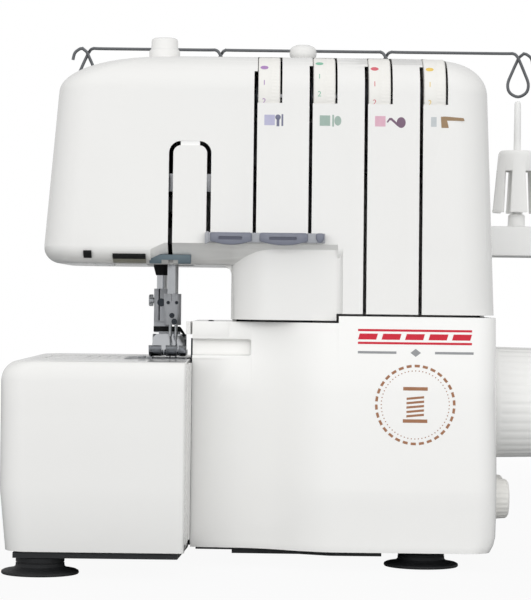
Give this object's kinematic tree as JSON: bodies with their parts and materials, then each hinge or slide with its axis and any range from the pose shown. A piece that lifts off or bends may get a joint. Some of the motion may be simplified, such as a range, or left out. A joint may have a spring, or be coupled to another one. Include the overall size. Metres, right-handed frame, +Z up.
{
  "type": "serger overlock machine",
  "caption": "Compact four-thread serger with numbered tension dials, slide-off work table, tilting looper cover, handwheel and a rear spool stand with a telescopic guide pole.",
  "frame": {"origin": "centre of the footprint, on the surface the rubber feet stand on", "axes": "+X to the operator's right (handwheel side), +Y away from the operator (spool stand side), +Z up"},
  "size_m": [0.33, 0.27, 0.3202],
  "materials": {
    "shell_white": "gloss moulded",
    "shell_grey": "satin moulded",
    "dial_grey": "satin moulded",
    "smoke": "smoked translucent",
    "black_rubber": "matt",
    "black_plastic": "fine texture",
    "polished_steel": "polished",
    "brushed_steel": "brushed",
    "dark_steel": "blued",
    "cast_alloy": "as cast",
    "motor_can": "satin",
    "lamp": "diffusing"
  },
  "bodies": {
    "machine": {"front_casing": "shell_white", "rear_casing": "shell_white", "main_frame": "cast_alloy", "base_plate": "black_plastic", "foot_front_left": "black_rubber", "foot_front_right": "black_rubber", "foot_rear_left": "black_rubber", "foot_rear_right": "black_rubber", "arm_plate": "shell_white", "needle_plate": "brushed_steel", "lower_knife": "dark_steel", "lower_bar_guide": "dark_steel", "lamp_lens": "lamp", "motor": "motor_can", "drive_belt": "black_rubber", "tension_shaft": "polished_steel", "tension_discs_1": "polished_steel", "tension_discs_2": "polished_steel", "tension_discs_3": "polished_steel", "tension_discs_4": "polished_steel", "thread_guide_bar": "smoke", "power_inlet": "black_plastic", "spool_stand": "shell_grey", "cone_holder_1": "shell_white", "cone_holder_2": "shell_white", "cone_holder_3": "shell_white", "cone_holder_4": "shell_white", "pole_tube": "polished_steel", "presser_spring": "polished_steel"},
    "table_cover": {"work_table": "shell_white"},
    "cover_rod": {"cover_hinge_rod": "polished_steel"},
    "front_cover": {"looper_cover": "shell_white"},
    "drive": {"main_shaft": "brushed_steel", "handwheel": "shell_grey"},
    "motor_rotor": {"motor_pulley": "black_plastic"},
    "needle_unit": {"needle_bar": "polished_steel", "needle_clamp": "polished_steel", "needle_left": "polished_steel", "needle_right": "polished_steel"},
    "take_up": {"take_up_lever": "brushed_steel"},
    "looper_upper": {"upper_looper": "polished_steel"},
    "looper_lower": {"lower_looper": "polished_steel"},
    "knife_upper": {"upper_knife": "dark_steel"},
    "feed": {"feed_dog": "brushed_steel"},
    "presser_unit": {"presser_bar": "polished_steel", "presser_ankle": "polished_steel"},
    "foot": {"presser_foot": "polished_steel"},
    "lifter": {"presser_lifter": "shell_grey"},
    "pressure_adjuster": {"pressure_knob": "shell_white"},
    "dial_1": {"tension_dial_1": "dial_grey"},
    "dial_2": {"tension_dial_2": "dial_grey"},
    "dial_3": {"tension_dial_3": "dial_grey"},
    "dial_4": {"tension_dial_4": "dial_grey"},
    "length_dial": {"stitch_length_dial": "dial_grey"},
    "feed_dial": {"differential_dial": "dial_grey"},
    "switch_rocker": {"power_switch": "black_plastic"},
    "pole_stage_2": {"pole_middle": "polished_steel"},
    "pole_stage_3": {"pole_top": "polished_steel", "guide_holder": "shell_white", "guide_wire": "polished_steel"}
  },
  "joints": [
    {"name": "work_table_slide", "type": "slide", "parent": "machine", "child": "table_cover", "axis": [-1, 0, 0], "range_m": [0, 0.11]},
    {"name": "looper_cover_slide", "type": "slide", "parent": "machine", "child": "cover_rod", "axis": [1, 0, 0], "range_m": [0, 0.006]},
    {"name": "looper_cover_tilt", "type": "hinge", "parent": "cover_rod", "child": "front_cover", "pos_m": [0, -0.071, 0.019], "axis": [1, 0, 0], "range_deg": [0, 75]},
    {"name": "handwheel_turn", "type": "hinge", "parent": "machine", "child": "drive", "pos_m": [0, 0, 0.094], "axis": [1, 0, 0], "continuous": true},
    {"name": "motor_turn", "type": "hinge", "parent": "machine", "child": "motor_rotor", "pos_m": [0.1, 0.038, 0.052], "axis": [1, 0, 0], "continuous": true},
    {"name": "needle_bar_slide", "type": "slide", "parent": "machine", "child": "needle_unit", "axis": [0, 0, 1], "range_m": [0, 0.026]},
    {"name": "take_up_swing", "type": "hinge", "parent": "machine", "child": "take_up", "pos_m": [-0.06, -0.012, 0.221], "axis": [-1, 0, 0], "range_deg": [0, 17.5]},
    {"name": "upper_looper_swing", "type": "hinge", "parent": "machine", "child": "looper_upper", "pos_m": [-0.04, -0.019, 0.062], "axis": [0, -1, 0], "range_deg": [0, 15.5]},
    {"name": "lower_looper_swing", "type": "hinge", "parent": "machine", "child": "looper_lower", "pos_m": [-0.048, -0.0275, 0.086], "axis": [0, 1, 0], "range_deg": [0, 20.5]},
    {"name": "upper_knife_slide", "type": "slide", "parent": "machine", "child": "knife_upper", "axis": [0, 0, 1], "range_m": [0, 0.0085]},
    {"name": "feed_dog_slide", "type": "slide", "parent": "machine", "child": "feed", "axis": [0, 1, 0], "range_m": [0, 0.0031]},
    {"name": "presser_bar_slide", "type": "slide", "parent": "machine", "child": "presser_unit", "axis": [0, 0, 1], "range_m": [0, 0.006], "deforming": ["presser_spring"]},
    {"name": "presser_foot_rock", "type": "hinge", "parent": "presser_unit", "child": "foot", "pos_m": [-0.077, -0.02, 0.129], "axis": [-1, 0, 0], "range_deg": [0, 8]},
    {"name": "presser_lifter_turn", "type": "hinge", "parent": "machine", "child": "lifter", "pos_m": [-0.0805, 0.04, 0.182], "axis": [1, 0, 0], "range_deg": [0, 35]},
    {"name": "pressure_knob_turn", "type": "hinge", "parent": "machine", "child": "pressure_adjuster", "pos_m": [-0.081, -0.02, 0.3], "axis": [0, 0, 1], "range_deg": [-360, 360]},
    {"name": "tension_dial_1_turn", "type": "hinge", "parent": "machine", "child": "dial_1", "pos_m": [-0.0183, -0.0545, 0.272], "axis": [1, 0, 0], "range_deg": [-150, 150]},
    {"name": "tension_dial_2_turn", "type": "hinge", "parent": "machine", "child": "dial_2", "pos_m": [0.0134, -0.0545, 0.272], "axis": [1, 0, 0], "range_deg": [-150, 150]},
    {"name": "tension_dial_3_turn", "type": "hinge", "parent": "machine", "child": "dial_3", "pos_m": [0.0451, -0.0545, 0.272], "axis": [1, 0, 0], "range_deg": [-150, 150]},
    {"name": "tension_dial_4_turn", "type": "hinge", "parent": "machine", "child": "dial_4", "pos_m": [0.0768, -0.0545, 0.272], "axis": [1, 0, 0], "range_deg": [-150, 150]},
    {"name": "stitch_length_turn", "type": "hinge", "parent": "machine", "child": "length_dial", "pos_m": [0.12, -0.03, 0.038], "axis": [1, 0, 0], "range_deg": [-135, 135]},
    {"name": "differential_turn", "type": "hinge", "parent": "machine", "child": "feed_dial", "pos_m": [0.12, 0.004, 0.038], "axis": [1, 0, 0], "range_deg": [-135, 135]},
    {"name": "power_rocker_tilt", "type": "hinge", "parent": "machine", "child": "switch_rocker", "pos_m": [0.11, 0.038, 0.036], "axis": [0, 1, 0], "range_deg": [-7, 7]},
    {"name": "pole_middle_slide", "type": "slide", "parent": "machine", "child": "pole_stage_2", "axis": [0, 0, 1], "range_m": [0, 0.12]},
    {"name": "pole_top_slide", "type": "slide", "parent": "pole_stage_2", "child": "pole_stage_3", "axis": [0, 0, 1], "range_m": [0, 0.12]}
  ],
  "couplings": [
    {"joint": "motor_turn", "follows": "handwheel_turn", "ratio": 3.1111},
    {"joint": "take_up_swing", "follows": "needle_bar_slide", "rad_per_m": 11.6},
    {"joint": "upper_looper_swing", "follows": "needle_bar_slide", "rad_per_m": 10.2},
    {"joint": "lower_looper_swing", "follows": "needle_bar_slide", "rad_per_m": 13.5},
    {"joint": "upper_knife_slide", "follows": "needle_bar_slide", "ratio": 0.3},
    {"joint": "feed_dog_slide", "follows": "needle_bar_slide", "ratio": 0.115},
    {"joint": "presser_lifter_turn", "follows": "presser_bar_slide", "rad_per_m": 101}
  ]
}
